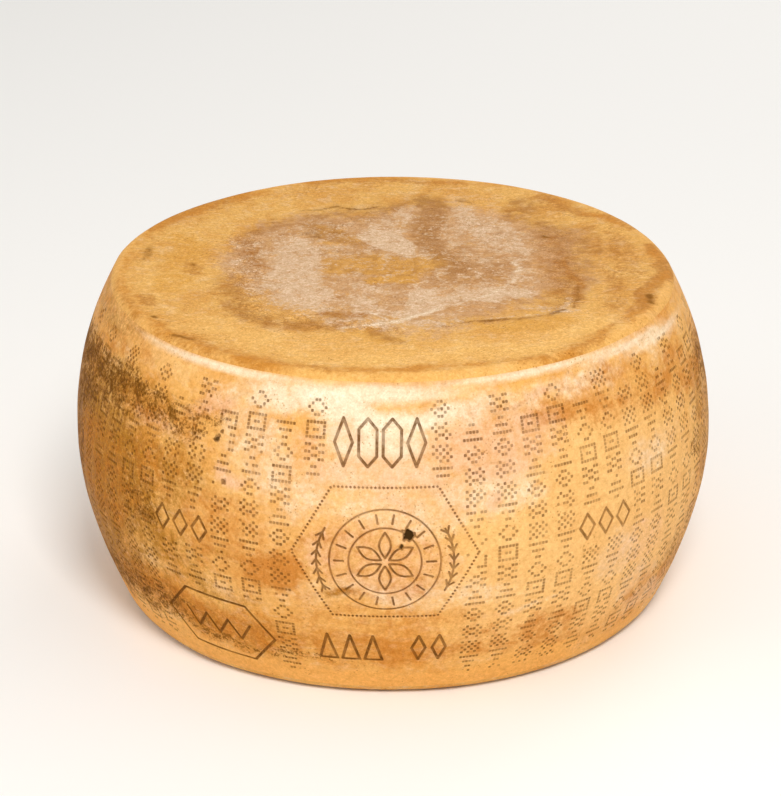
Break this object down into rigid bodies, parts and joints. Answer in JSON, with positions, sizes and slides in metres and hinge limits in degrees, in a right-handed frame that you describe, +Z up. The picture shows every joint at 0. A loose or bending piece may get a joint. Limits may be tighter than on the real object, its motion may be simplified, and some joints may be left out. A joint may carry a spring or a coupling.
{
  "type": "whole hard cheese wheel",
  "caption": "Whole aged hard cheese wheel with a bulging golden rind, pin-pricked side and pressed ornament marks, resting on its flat underside.",
  "frame": {"origin": "centre of the flat underside", "axes": "+Z up through the middle of the wheel, the stamped front facing -Y, +X to the right seen from the front"},
  "size_m": [0.4488, 0.4508, 0.23],
  "materials": {
    "rind": null
  },
  "bodies": {
    "root": {"cheese_wheel": "rind"}
  },
  "joints": []
}
